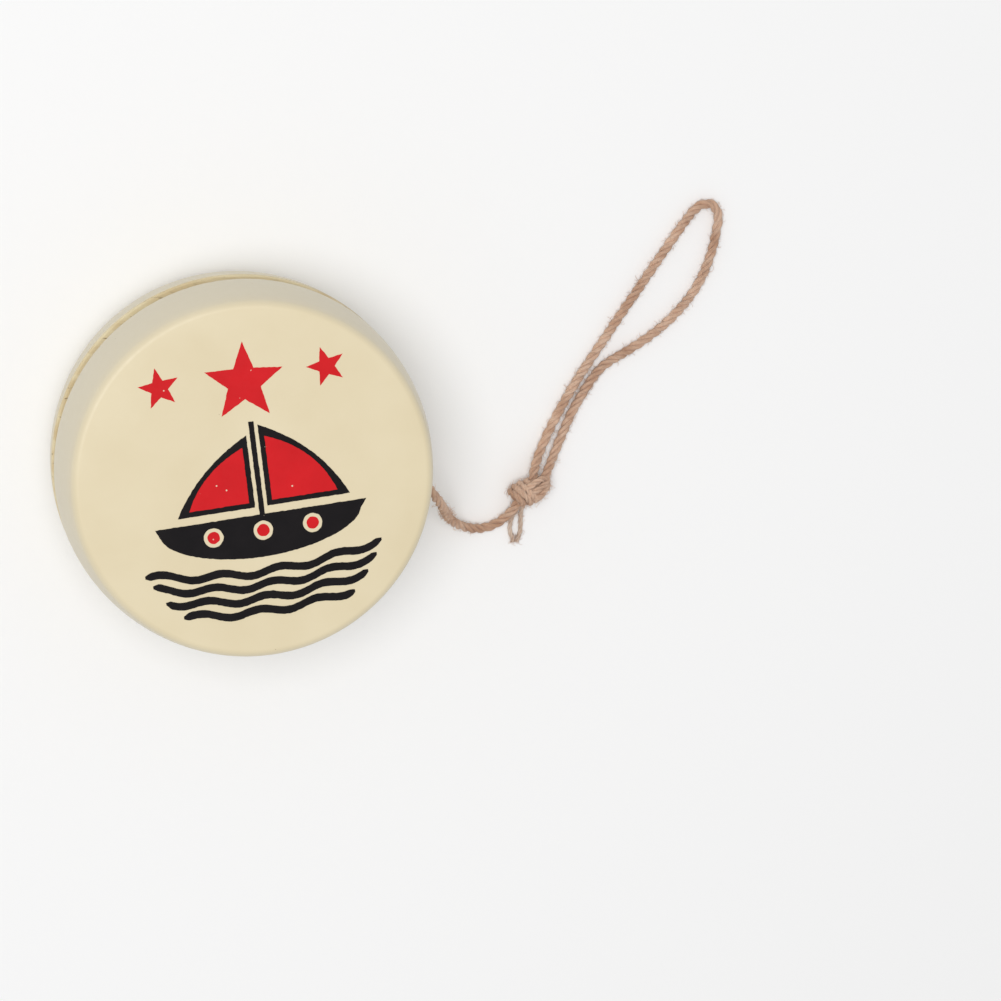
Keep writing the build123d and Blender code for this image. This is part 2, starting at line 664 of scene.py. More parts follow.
@dataclass
class TurnedHalf:
    """One turned disc: a bare wooden core and the coat of paint over its outside."""

    node: str
    faces_up: bool
    side_draft: float = 1.7 * MM
    shoulder_round: float = 1.3 * MM
    edge_round: float = 0.35 * MM
    coat: float = 0.10 * MM
    bore_radius: float = 4.03 * MM
    face_wall: float = 2.4 * MM
    coat_edge: float = 0.42 * MM
    coat_wander: float = 0.16 * MM
    wander_scales: Range = (26.0, 90.0)
    sides: int = 576
    core_sides: int = 288
    flat_steps: int = 8
    crease: float = math.radians(35)
    radius: float = field(init=False)
    thickness: float = field(init=False)
    inner_height: float = field(init=False)

    def __post_init__(self) -> None:
        """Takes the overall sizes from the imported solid."""
        low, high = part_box(self.node)
        self.thickness = high[2] - low[2]
        self.radius = max(high[0], -low[0])
        self.inner_height = low[2] if self.faces_up else high[2]

    def side_radius(self) -> float:
        """Radius of the side's curve, which is upright at the gap."""
        return (self.thickness**2 + self.side_draft**2) / (2 * self.side_draft)

    def outside(self, inset: float, stop: float, steps: int) -> list[Range]:
        """The outer profile from the axis over the flat face and down the side.

        Args:
            inset: how far inside the finished surface it runs.
            stop: height above the inner face where it ends.
            steps: points on each curve.

        Returns:
            (radius, height above the inner face) pairs.
        """
        side = self.side_radius()
        side_centre = self.radius - side
        round_height = self.thickness - self.shoulder_round
        reach = math.sqrt((side - self.shoulder_round) ** 2 - round_height**2)
        round_centre = side_centre + reach
        meet = math.atan2(round_height, reach)
        rings = self.flat_steps
        flat = [(round_centre * ring / rings, self.thickness - inset) for ring in range(rings + 1)]
        round_middle, bend = (round_centre, round_height), self.shoulder_round - inset
        shoulder = arc(round_middle, bend, math.pi / 2, meet, steps)
        wall = arc((side_centre, 0.0), side - inset, meet, math.asin(stop / side), steps)
        return flat + shoulder + wall

    def inside(self, steps: int = 6) -> list[Range]:
        """The core's profile from the eased rim over the inner face and into the blind bore.

        Args:
            steps: points on the eased rim and down the bore.

        Returns:
            (radius, height above the inner face) pairs.
        """
        flat_edge = self.radius - self.coat - self.edge_round
        eased = arc((flat_edge, self.edge_round), self.edge_round, 0.0, -math.pi / 2, steps)
        width, rings = flat_edge - self.bore_radius, self.flat_steps
        face = [(self.bore_radius + width * ring / rings, 0.0) for ring in range(rings - 1, -1, -1)]
        depth = self.thickness - self.face_wall
        bore = [(self.bore_radius, depth * i / steps) for i in range(1, steps + 1)]
        return eased + face + bore + [(self.bore_radius / 2, depth), (0.0, depth)]

    def stand(self, rows: np.ndarray) -> np.ndarray:
        """Moves rows from above the inner face to their place in the model.

        Args:
            rows: places, with their height above the inner face.

        Returns:
            The placed rows.
        """
        placed = rows.copy()
        placed[..., 2] = self.inner_height + (rows[..., 2] if self.faces_up else -rows[..., 2])
        return placed

    def core(self, wood: bpy.types.Material) -> bpy.types.Object:
        """The wooden core.

        Args:
            wood: its finish.

        Returns:
            The piece, riding on the spool.
        """
        profile = self.outside(self.coat, self.edge_round, 10) + self.inside()
        rows = self.stand(lathe_rows(profile[1:-1], self.core_sides))
        mesh = grid_mesh(f"{self.node}_core", rows, MM, self.crease)
        return self.finish(mesh, wood, Slot.WOOD)

    def skin(self, paint: bpy.types.Material) -> bpy.types.Object:
        """The coat of paint, whose edge at the gap wanders a little.

        Args:
            paint: its finish.

        Returns:
            The piece, riding on the spool.
        """
        outer = self.outside(0.0, self.coat_edge, 16)
        inner = self.outside(self.coat + 0.01 * MM, self.coat_edge, 10)
        rows = lathe_rows(outer[1:] + inner[:0:-1], self.sides)
        seed = 3.0 if self.faces_up else 11.0
        wander = []
        for i in range(self.sides):
            turn = i * FULL_TURN / self.sides
            east, north = math.cos(turn), math.sin(turn)
            waves = [noise.noise(Vector((east * s, north * s, seed))) for s in self.wander_scales]
            wander.append(waves[0] + 0.5 * waves[1])
        fade = np.clip((4 * self.coat_edge - rows[..., 2]) / (3 * self.coat_edge), 0.0, 1.0)
        rows[..., 2] += fade * self.coat_wander * np.array(wander)[None, :]
        mesh = grid_mesh(f"{self.node}_paint", self.stand(rows), MM, self.crease)
        return self.finish(mesh, paint, Slot.PAINT)

    def finish(
        self, mesh: bpy.types.Mesh, finish: bpy.types.Material, slot: Slot
    ) -> bpy.types.Object:
        """Makes a mesh a piece of the spool that stands for the CAD half.

        Args:
            mesh: its mesh, which also names it.
            finish: its material.
            slot: its material slot; not used.

        Returns:
            The piece.
        """
        piece = new_piece(mesh.name, mesh, finish)
        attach(piece, Body.SPOOL.value)
        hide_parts(self.node)
        return piece


# --------------------------------------------------------------------------------------
# The print on the front face
# --------------------------------------------------------------------------------------

Outline = list[tuple[float, float]]


@dataclass(frozen=True)
class Mark:
    """One printed shape and the holes that are left in it, in millimetres."""

    outline: Outline
    holes: tuple[Outline, ...] = ()


def inside(points: np.ndarray, ring: np.ndarray) -> np.ndarray:
    """Says which points lie inside a closed ring.

    Args:
        points: points x 2 places.
        ring: corners x 2 places.

    Returns:
        True or False for each point.
    """
    x, y = points[:, :1], points[:, 1:]
    start, end = ring, np.roll(ring, -1, axis=0)
    crosses = (start[:, 1] > y) != (end[:, 1] > y)
    rise = np.where(end[:, 1] == start[:, 1], 1.0, end[:, 1] - start[:, 1])
    left = x < start[:, 0] + (y - start[:, 1]) / rise * (end[:, 0] - start[:, 0])
    return (crosses & left).sum(axis=1) % 2 == 1


@dataclass
class FacePrint:
    """A plain sailing boat under three stars, screen-printed in two inks."""

    face_height: float
    tilt: float = math.radians(9.0)
    line: float = 0.8
    edge_step: float = 0.22
    edge_wander: float = 0.07
    bed: float = 0.01 * MM
    red_lift: float = 0.025 * MM
    black_lift: float = 0.045 * MM
    star_waist: float = 0.42
    stars: tuple[tuple[float, float, float, float], ...] = (
        (-12.4, 16.2, 3.2, 6.0),
        (0.3, 15.3, 6.2, -4.0),
        (12.9, 15.9, 3.1, 12.0),
    )
    sails: tuple[tuple[float, float, float, float, float], ...] = (
        (1.5, -4.0, 8.6, 14.2, 1.7),
        (-0.4, -4.0, 7.2, -12.2, 1.3),
    )
    sail_swell: tuple[float, float] = (0.75, 0.6)
    mast_middle: float = 0.55
    mast_foot: float = -5.4
    mast_head: float = 9.2
    deck: float = -5.2
    ports: tuple[float, ...] = (-7.2, 0.4, 8.0)
    port_height: float = -7.7
    port_hole: float = 1.5
    port_spot: float = 0.95
    wave_halves: tuple[float, ...] = (18.2, 17.2, 15.6, 13.2)
    wave_top: float = -14.1
    wave_apart: float = 2.05
    wave_bow: float = 0.0062
    wave_height: float = 0.42
    wave_length: float = 8.8
    wave_shift: float = 0.9
    wave_thickness: float = 0.62

    def star(self, x: float, y: float, size: float, turn: float) -> Outline:
        """A five-pointed star.

        Args:
            x: centre.
            y: centre.
            size: centre to tip.
            turn: degrees.

        Returns:
            Its outline.
        """
        points = []
        for i in range(10):
            reach = size if i % 2 == 0 else size * self.star_waist
            angle = math.radians(90 + turn + 36 * i)
            points.append((x + reach * math.cos(angle), y + reach * math.sin(angle)))
        return points

    def disc(self, x: float, y: float, radius: float) -> Outline:
        """A round spot."""
        turns = [FULL_TURN * i / 40 for i in range(40)]
        return [(x + radius * math.cos(turn), y + radius * math.sin(turn)) for turn in turns]

    def sail(
        self, mast: float, foot: float, head: float, reach: float, belly: float, inset: float
    ) -> Outline:
        """A three-sided sail with a curved outer edge.

        Args:
            mast: where its upright edge stands.
            foot: height of its lower edge.
            head: height of its top.
            reach: where its lower outer corner is.
            belly: how far the outer edge swells.
            inset: how far inside the line it runs.

        Returns:
            Its outline.
        """
        way = 1.0 if reach > mast else -1.0
        inner = mast + way * inset
        slope = abs(reach - mast) / (head - foot)
        top = head - inset * (1 + 1 / slope) * 1.15
        corner = reach - way * inset * 2.3
        low = foot + inset
        points = [(inner, low)]
        for i in range(25):
            share = i / 24
            swell = belly * 4 * share * (1 - share)
            x = corner + (inner - corner) * share
            y = low + (top - low) * share
            points.append((x + way * swell * self.sail_swell[0], y + swell * self.sail_swell[1]))
        return points

    def hull(self) -> Outline:
        """The boat's hull, a shallow bowl with raked ends.

        Returns:
            Its outline.
        """
        points = [(-15.8, self.deck), (16.6, self.deck)]
        for i in range(1, 24):
            along, down = math.cos(math.pi * i / 24), math.sin(math.pi * i / 24)
            points.append((0.2 + 14.0 * along + 1.6 * along**3, self.deck - 6.6 * down**0.8))
        return points

    def wave(self, row: int) -> Outline:
        """One stripe of water, thicker in the middle of its length.

        Args:
            row: 0 for the highest stripe.

        Returns:
            Its outline.
        """
        half = self.wave_halves[row]
        base = self.wave_top - self.wave_apart * row
        upper, lower = [], []
        for i in range(121):
            x = -half + 2 * half * i / 120
            swing = math.sin(FULL_TURN * x / self.wave_length + self.wave_shift * row)
            middle = base + self.wave_bow * x * x + self.wave_height * swing
            thick = self.wave_thickness * min(1.0, 0.35 + (half - abs(x)) / 1.2)
            upper.append((x, middle + thick))
            lower.append((x, middle - thick))
        return upper + lower[::-1]

    def red_marks(self) -> list[Mark]:
        """Everything in red.

        Returns:
            The marks.
        """
        marks = [Mark(self.star(*star)) for star in self.stars]
        marks += [Mark(self.sail(*sail, 0.55 * self.line)) for sail in self.sails]
        return marks + [Mark(self.disc(x, self.port_height, self.port_spot)) for x in self.ports]

    def black_marks(self) -> list[Mark]:
        """Everything in black.

        Returns:
            The marks.
        """
        marks = [Mark(self.wave(row)) for row in range(len(self.wave_halves))]
        holes = tuple(self.disc(x, self.port_height, self.port_hole) for x in self.ports)
        marks.append(Mark(self.hull(), holes))
        for sail in self.sails:
            marks.append(Mark(self.sail(*sail, 0.0), (self.sail(*sail, self.line),)))
        left, right = self.mast_middle - self.line / 2, self.mast_middle + self.line / 2
        low, high = self.mast_foot, self.mast_head
        marks.append(Mark([(left, low), (right, low), (right, high), (left, high)]))
        return marks

    def uneven(self, outline: Outline, seed: float) -> Outline:
        """The outline in short steps with a slightly uneven edge.

        Args:
            outline: its corners.
            seed: which unevenness.

        Returns:
            The new outline.
        """
        stepped = []
        for (ax, ay), (bx, by) in zip(outline, outline[1:] + outline[:1]):
            count = max(1, int(math.hypot(bx - ax, by - ay) / self.edge_step))
            for i in range(count):
                x = ax + (bx - ax) * i / count
                y = ay + (by - ay) * i / count
                drift = noise.noise_vector(Vector((x * 1.9, y * 1.9, seed)))
                stepped.append((x + self.edge_wander * drift.x, y + self.edge_wander * drift.y))
        return stepped

    def ink(
        self, name: str, marks: list[Mark], lift: float, finish: bpy.types.Material
    ) -> bpy.types.Object:
        """Lays one ink down as a thin closed sheet.

        Args:
            name: the piece's name.
            marks: its shapes.
            lift: height of the ink above the paint.
            finish: its material.

        Returns:
            The piece, riding on the spool.
        """
        corners, edges, regions = [], [], []
        for number, mark in enumerate(marks):
            rings = [self.uneven(ring, float(number)) for ring in (mark.outline, *mark.holes)]
            regions.append([np.array(ring) for ring in rings])
            for ring in rings:
                first, count = len(corners), len(ring)
                corners += [Vector(corner) for corner in ring]
                edges += [(first + i, first + (i + 1) % count) for i in range(count)]
        places, _, faces, *_ = delaunay_2d_cdt(corners, edges, [], 0, 1e-4)
        middles = np.array([np.mean([places[i] for i in face], axis=0) for face in faces])
        inked = np.zeros(len(faces), dtype=bool)
        for outline, *holes in regions:
            covered = inside(middles, outline)
            for hole in holes:
                covered &= ~inside(middles, hole)
            inked |= covered
        bm = bmesh.new()
        verts = [bm.verts.new((place.x * MM, place.y * MM, -self.bed)) for place in places]
        for face in (faces[i] for i in np.flatnonzero(inked)):
            bm.faces.new([verts[i] for i in face])
        raised = bmesh.ops.extrude_face_region(bm, geom=bm.faces[:])["geom"]
        top = [part for part in raised if isinstance(part, bmesh.types.BMVert)]
        bmesh.ops.translate(bm, verts=top, vec=(0.0, 0.0, self.bed + lift))
        loose = [vert for vert in bm.verts if not vert.link_faces]
        bmesh.ops.delete(bm, geom=loose, context="VERTS")
        bmesh.ops.recalc_face_normals(bm, faces=bm.faces)
        mesh = bpy.data.meshes.new(name)
        bm.to_mesh(mesh)
        bm.free()
        face = Matrix.Translation((0.0, 0.0, self.face_height))
        mesh.transform(face @ Matrix.Rotation(self.tilt, 4, "Z"))
        piece = new_piece(name, mesh, finish)
        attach(piece, Body.SPOOL.value)
        return piece

    def build(self, red: bpy.types.Material, black: bpy.types.Material) -> list[bpy.types.Object]:
        """Lays both inks down.

        Args:
            red: the red ink.
            black: the black ink.

        Returns:
            The two pieces.
        """
        return [
            self.ink("print_red", self.red_marks(), self.red_lift, red),
            self.ink("print_black", self.black_marks(), self.black_lift, black),
        ]


# --------------------------------------------------------------------------------------
# The string
# --------------------------------------------------------------------------------------


@dataclass(frozen=True)
class Twine:
    """How the cotton string is laid up: plies of one radius twisted round each other."""

    diameter: float = 1.6 * MM
    plies: int = 3
    pitch: float = 4.8 * MM
    sides: int = 8
    step: float = 0.36 * MM
    wobble: float = 0.05 * MM
    twist_wobble: float = 0.9
    swell: float = 0.09
    fullness: float = 1.12

    def ply_radius(self) -> float:
        """Radius of one ply, a little full so that the plies press together."""
        return self.diameter / 2 / (1 + 2 / math.sqrt(3)) * self.fullness

    def lay(self) -> float:
        """Distance from the string's middle to a ply's middle."""
        return self.diameter / 2 - self.ply_radius()

    def strands(self, name: str, line: np.ndarray, start: float = 0.0) -> list[bpy.types.Mesh]:
        """Sweeps each ply along the string's line.

        Args:
            name: the meshes' name.
            line: the string's middle, in order.
            start: twist at its start, in radians; it also picks the unevenness.

        Returns:
            One mesh for each ply.
        """
        places = even_steps(line, self.step)
        tangents, first, second = carried_frames(places)
        along = np.arange(len(places)) * self.step
        drift = np.array([noise.noise_vector(Vector((s * 240, 3.0, start))) for s in along])
        places = places + (first * drift[:, :1] + second * drift[:, 1:2]) * self.wobble
        twist = start + FULL_TURN * along / self.pitch + self.twist_wobble * drift[:, 2]
        around = np.arange(self.sides) * FULL_TURN / self.sides
        meshes = []
        for ply in range(self.plies):
            turn = (twist + FULL_TURN * ply / self.plies)[:, None]
            out = first * np.cos(turn) + second * np.sin(turn)
            up = np.cross(tangents, out)
            uneven = [noise.noise(Vector((s * 700, ply * 7.0, start))) for s in along]
            radius = self.ply_radius() * (1 + self.swell * np.array(uneven))
            middle = places + out * self.lay()
            spokes = out[:, None, :] * np.cos(around)[None, :, None]
            spokes = spokes + up[:, None, :] * np.sin(around)[None, :, None]
            rows = middle[:, None, :] + spokes * radius[:, None, None]
            meshes.append(grid_mesh(f"{name}_{ply}", rows, self.step, math.radians(80)))
        return meshes


def joined(name: str, meshes: Iterable[bpy.types.Mesh]) -> bpy.types.Mesh:
    """Puts several meshes into one.

    Args:
        name: the new mesh's name.
        meshes: what goes in; they are used up.

    Returns:
        The new mesh.
    """
    bm = bmesh.new()
    for mesh in meshes:
        bm.from_mesh(mesh)
        bpy.data.meshes.remove(mesh)
    result = bpy.data.meshes.new(name)
    bm.to_mesh(result)
    bm.free()
    return result


@dataclass
class LooseFibres:
    """Short cotton fibres that stand off the string, scattered over it by a node tree."""

    density: float = 2.7e6
    length: float = 0.75 * MM
    thickness: float = 0.028
    seed: int = 7
    bend: tuple[Point, Point, Point] = ((0.0, 0.0, -0.1), (0.1, 0.0, 0.6), (0.85, 0.0, 0.45))
    lean: float = 0.7
    sizes: Range = (0.25, 1.3)
    bare_reach: float = 24 * MM
    bare_height: float = 0.35 * MM
    floor_bend: float = 0.12 * MM
    floor_squeeze: float = 8.0
    tufts: tuple[tuple[Point, float, float], ...] = (
        ((35.2 * MM, -9.0 * MM, 7.5 * MM), 2.6 * MM, 9.0),
        ((57.0 * MM, 9.5 * MM, 0.8 * MM), 4.0 * MM, 2.5),
        ((47.5 * MM, -15.9 * MM, 0.5 * MM), 1.2 * MM, 8.0),
    )

    def tree(self) -> tuple[bpy.types.NodeTree, dict[str, str]]:
        """Builds the node tree: scatter points and stand a bent fibre of its finish on each.

        Returns:
            The tree, and its inputs' identifiers by name.
        """
        tree = bpy.data.node_groups.new("loose_fibres", "GeometryNodeTree")
        kinds = {"Geometry": "Geometry", "Density": "Float", "Length": "Float"}
        kinds |= {"Thickness": "Float", "Seed": "Int", "Finish": "Material"}
        names = {}
        for name, kind in kinds.items():
            kind = f"NodeSocket{kind}"
            socket = tree.interface.new_socket(name, in_out="INPUT", socket_type=kind)
            names[name] = socket.identifier
        tree.interface.new_socket("Geometry", in_out="OUTPUT", socket_type="NodeSocketGeometry")

        def add(kind: str, output: str | int, feeds: dict[str | int, object], **how: str) -> Socket:
            """Adds a node and returns one of its outputs."""
            return add_node(tree, kind, feeds, **how).outputs[output]

        given = add_node(tree, "NodeGroupInput", {}).outputs
        feeds = {"Name": "shag"}
        shag = add("GeometryNodeInputNamedAttribute", "Attribute", feeds, data_type="FLOAT")
        local = add("ShaderNodeMath", "Value", {0: given["Density"], 1: shag}, operation="MULTIPLY")
        seed = given["Seed"]
        feeds = {"Mesh": given["Geometry"], "Density": local, "Seed": seed}
        scatter = add_node(tree, "GeometryNodeDistributePointsOnFaces", feeds).outputs
        root, middle, tip = self.bend
        feeds = {"Resolution": 4, "Start": root, "Middle": middle, "End": tip}
        bend = add("GeometryNodeCurveQuadraticBezier", "Curve", feeds)
        feeds = {"Resolution": 3, "Radius": given["Thickness"]}
        section = add("GeometryNodeCurvePrimitiveCircle", "Curve", feeds)
        feeds = {"Curve": bend, "Profile Curve": section, "Fill Caps": True}
        fibre = add("GeometryNodeCurveToMesh", "Mesh", feeds)
        low, high = (-self.lean, -self.lean, 0.0), (self.lean, self.lean, FULL_TURN)
        feeds = {0: low, 1: high, "Seed": seed}
        lean = add("FunctionNodeRandomValue", "Value", feeds, data_type="FLOAT_VECTOR")
        turn = add("FunctionNodeEulerToRotation", "Rotation", {"Euler": lean})
        feeds = {"Rotation": scatter["Rotation"], "Rotate By": turn}
        leaned = add("FunctionNodeRotateRotation", "Rotation", feeds, rotation_space="LOCAL")
        feeds = {2: self.sizes[0], 3: self.sizes[1], "Seed": seed}
        share = add("FunctionNodeRandomValue", 1, feeds, data_type="FLOAT")
        size = add("ShaderNodeMath", "Value", {0: share, 1: given["Length"]}, operation="MULTIPLY")
        feeds = {"Points": scatter["Points"], "Instance": fibre, "Rotation": leaned, "Scale": size}
        stand = add("GeometryNodeInstanceOnPoints", "Instances", feeds)
        real = add("GeometryNodeRealizeInstances", "Geometry", {"Geometry": stand})
        feeds = {"Geometry": real, "Material": given["Finish"]}
        dress = add("GeometryNodeSetMaterial", "Geometry", feeds)
        add_node(tree, "NodeGroupOutput", {"Geometry": dress})
        return tree, names

    def shagginess(self, mesh: bpy.types.Mesh) -> None:
        """Writes how thickly fibres stand: none deep in the gap or underneath, most at the tufts.

        Args:
            mesh: the mesh that gets the attribute.
        """
        places = np.array([vertex.co for vertex in mesh.vertices])
        shag = np.where(np.hypot(places[:, 0], places[:, 1]) < self.bare_reach, 0.0, 1.0)
        for middle, reach, more in self.tufts:
            away = np.linalg.norm(places - np.array(middle), axis=1)
            shag = shag + more * np.clip(1 - away / reach, 0.0, 1.0)
        shag[places[:, 2] < self.bare_height] = 0.0
        attribute = mesh.attributes.new("shag", "FLOAT", "POINT")
        attribute.data.foreach_set("value", shag.astype(np.float32))

    def grow(
        self, name: str, on: list[bpy.types.Object], finish: bpy.types.Material
    ) -> bpy.types.Object:
        """Grows the fibres as a plain mesh.

        Args:
            name: the piece's name.
            on: the pieces that they stand on.
            finish: their material.

        Returns:
            The piece.
        """
        ground = new_piece(name, joined(name, [piece.data.copy() for piece in on]), finish)
        self.shagginess(ground.data)
        tree, names = self.tree()
        nodes = ground.modifiers.new("fibres", "NODES")
        nodes.node_group = tree
        for name_in, value in (
            ("Density", self.density),
            ("Length", self.length),
            ("Thickness", self.thickness),
            ("Seed", self.seed),
            ("Finish", finish),
        ):
            nodes[names[name_in]] = value
        bpy.context.view_layer.update()
        grown = ground.evaluated_get(bpy.context.evaluated_depsgraph_get())
        mesh = bpy.data.meshes.new_from_object(grown)
        ground.modifiers.clear()
        for vertex in mesh.vertices:
            if vertex.co.z < self.floor_bend:
                below = vertex.co.z / self.floor_bend - 1
                vertex.co.z = self.floor_bend * math.exp(below / self.floor_squeeze)
        old, ground.data = ground.data, mesh
        bpy.data.meshes.remove(old)
        LOG.info("%s: %d fibres' faces", name, len(mesh.polygons))
        return ground


def ease_in(share: float) -> float:
    """Rises from 0 to 1 over the last third of a stretch."""
    return max(0.0, min(1.0, (share - 0.7) / 0.3))


def in_metres(route: Iterable[Point]) -> list[Point]:
    """A route's points, given in millimetres."""
    return [(x * MM, y * MM, z * MM) for x, y, z in route]


@dataclass
class YoyoString:
    """The whole string: loop on the axle, wound turns, lead, finger loop, knot and tail."""

    twine: Twine
    middle: float
    axle_line: float = 4.90 * MM
    layer_pitch: float = 1.4 * MM
    layers: int = 6
    points_per_turn: int = 16
    looseness: float = 0.09 * MM
    length: float = 0.935
    lying: float = 0.84 * MM
    knot_centre: Point = (49.0 * MM, -7.1 * MM, 2.5 * MM)
    knot_turn: float = math.radians(27.0)
    knot_twine: Twine = Twine(1.12 * MM, 3, 3.4 * MM, 8, 0.2 * MM, 0.02 * MM)
    heart_twine: Twine = Twine(2.5 * MM, 3, 9.0 * MM, 10)
    tail_twine: Twine = Twine(0.78 * MM, 3, 3.4 * MM, 7, 0.2 * MM, 0.02 * MM)

    def lead(self) -> list[Point]:
        """The way from the winding out of the gap and down into the knot.

        Returns:
            Its control points.
        """
        rest = self.lying / MM
        height = self.middle / MM
        return in_metres([
            (6.2, 11.7, height), (13.6, 8.4, height), (20.2, 4.6, height), (25.4, 0.6, height),
            (29.2, -3.4, height), (31.9, -6.6, 12.8), (33.8, -9.1, 8.8), (35.3, -11.1, 4.9),
            (37.7, -13.0, 2.0), (41.1, -13.9, rest + 0.1), (44.3, -13.0, rest),
            (46.6, -10.7, 1.3), (47.5, -8.5, 2.2),
        ])

    def finger_loop(self) -> list[Point]:
        """The finger loop's way from the knot round and back to it.

        Returns:
            Its control points.
        """
        rest = self.lying / MM
        return in_metres([
            (49.3, -6.5, 2.8), (49.6, -4.0, 2.0), (50.5, -1.2, 1.2), (51.9, 2.1, rest),
            (53.5, 5.6, rest), (55.3, 9.2, rest), (59.4, 16.0, rest), (64.3, 23.8, rest),
            (69.0, 31.2, rest), (72.4, 36.5, rest), (74.6, 39.6, rest), (77.0, 40.2, rest),
            (78.5, 38.4, rest), (78.2, 35.4, rest), (77.5, 31.6, rest), (75.9, 27.0, rest),
            (72.9, 22.6, rest), (68.8, 18.7, rest), (64.4, 15.7, rest), (60.3, 13.3, rest),
            (58.0, 9.9, rest), (56.1, 6.5, rest), (54.7, 3.1, rest), (53.5, -0.2, 1.0),
            (52.2, -3.3, 1.8), (51.0, -6.0, 2.6),
        ])

    def wound(self) -> list[Point]:
        """The loop on the axle and every wound turn, two side by side in each layer.

        Returns:
            Points that run clockwise, seen from the front, and end where the lead starts.
        """
        start_x, start_y, _ = self.lead()[0]
        last_angle = math.atan2(start_y, start_x)
        steps = (1 + 2 * self.layers) * self.points_per_turn
        side = self.twine.diameter / 2
        points = []
        for i in range(steps):
            done = i / self.points_per_turn
            angle = last_angle + FULL_TURN * (steps - i) / self.points_per_turn
            if done < 1:
                rise, across = ease_in(done), -ease_in(done)
            else:
                turn = int(done - 1)
                ease = ease_in((done - 1) % 1)
                layer, second = divmod(turn, 2)
                over = 1.0 if (layer + second) % 2 else -1.0
                climbs = second and layer < self.layers - 1
                rise = layer + 1 + (ease if climbs else 0.0)
                across = over if second else over * (1 - 2 * ease)
            radius = self.axle_line + rise * self.layer_pitch
            radius /= math.cos(math.pi / self.points_per_turn)
            loose = noise.noise_vector(Vector((i * 0.31, 5.0, 2.0))) * self.looseness
            if done >= 1:
                radius += loose.x
            height = self.middle + across * side + loose.z
            points.append((radius * math.cos(angle), radius * math.sin(angle), height))
        return points

    def line(self) -> np.ndarray:
        """The whole string's smooth middle line."""
        return spline_points("string_route", self.wound() + self.lead() + self.finger_loop(), 6)

    def build(
        self, cotton: bpy.types.Material, frayed: bpy.types.Material
    ) -> list[bpy.types.Object]:
        """Args:
            cotton: the string's finish.
            frayed: the finish of its untwisted cut end.

        Returns:
            The pieces.
        """
        line = self.line()
        plies = self.twine.strands("string", line)
        string = new_piece("string", joined("string", plies), cotton)
        knot = new_piece("loop_knot_strands", self.knot(), cotton)
        tail = new_piece("knot_tail_strands", self.tail(), frayed)
        fibres = LooseFibres().grow("string_fibres", [string, knot, tail], cotton)
        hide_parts("axle_loop", "string_winding", "string_lead", "finger_loop")
        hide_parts("loop_knot")
        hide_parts("knot_tail")
        for piece in (string, knot, tail, fibres):
            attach(piece, Body.STRING.value)
        runs = np.linalg.norm(np.diff(line, axis=0), axis=1)
        LOG.info("string is %.3f m long", float(runs.sum()))
        return [string, knot, tail, fibres]

    def knot_frame(self) -> Matrix:
        """The knot's place: its long axis along X."""
        return Matrix.Translation(self.knot_centre) @ Matrix.Rotation(self.knot_turn, 4, "Z")

    def knot_paths(self) -> list[list[Point]]:
        """The stretches of string that show on the knot, in millimetres, its long axis along X.

        Returns:
            Three turns that wrap the knot, a fourth that dives under the lobes, and the lobes
            above and below, which run along the knot and turn round at its ends.
        """
        turns = [FULL_TURN * i / 12 for i in range(15)]
        wraps = []
        for middle, wide, deep in ((-2.35, 1.35, 1.55), (-1.35, 1.75, 1.85), (-0.35, 1.85, 1.75)):
            round_it = [(wide * math.cos(turn), deep * math.sin(turn)) for turn in turns]
            wraps.append([(middle - 0.32 * v + 0.12 * w, v, w) for v, w in round_it])
        round_it = [(1.75 * math.cos(turn), 1.2 * math.sin(turn)) for turn in turns]
        dive = [(0.75 - 0.30 * v, v, w) for v, w in round_it]
        hairpin = [
            (-1.6, 0.9, 0.3), (-0.6, 1.0, 1.3), (0.5, 1.25, 1.75), (1.6, 1.3, 1.5),
            (2.6, 1.15, 0.95), (3.35, 0.75, 0.45), (3.2, 0.25, 0.6), (2.4, 0.15, 1.15),
            (1.3, 0.1, 1.75), (0.2, 0.0, 1.8), (-0.9, -0.2, 1.2), (-1.8, -0.2, 0.2),
        ]
        lobe = [
            (-1.2, -0.7, 0.4), (-0.3, -0.95, 1.2), (0.7, -1.15, 1.5), (1.7, -0.95, 1.35),
            (2.6, -0.65, 0.8), (3.15, -0.35, 0.0), (2.8, 0.3, -0.7), (1.9, 0.9, -1.1),
            (0.8, 1.0, -1.2),
        ]
        under = [[(u, -v, -w) for u, v, w in path] for path in (hairpin, lobe)]
        return wraps + [dive, hairpin, lobe] + under

    def knot(self) -> bpy.types.Mesh:
        """The knot: its visible stretches over a hidden middle.

        Returns:
            The mesh, in place.
        """
        meshes = []
        for number, path in enumerate(self.knot_paths()):
            line = spline_points("knot_route", in_metres(path), 8)
            meshes += self.knot_twine.strands(f"knot_{number}", line, start=1.3 * number)
        middle = in_metres([(-2.6, 0.0, 0.0), (-1.0, 0.0, 0.0), (1.0, 0.0, 0.0), (2.7, 0.0, 0.0)])
        heart = spline_points("knot_middle", middle, 8)
        meshes += self.heart_twine.strands("knot_middle", heart)
        mesh = joined("loop_knot_strands", meshes)
        mesh.transform(self.knot_frame())
        return mesh

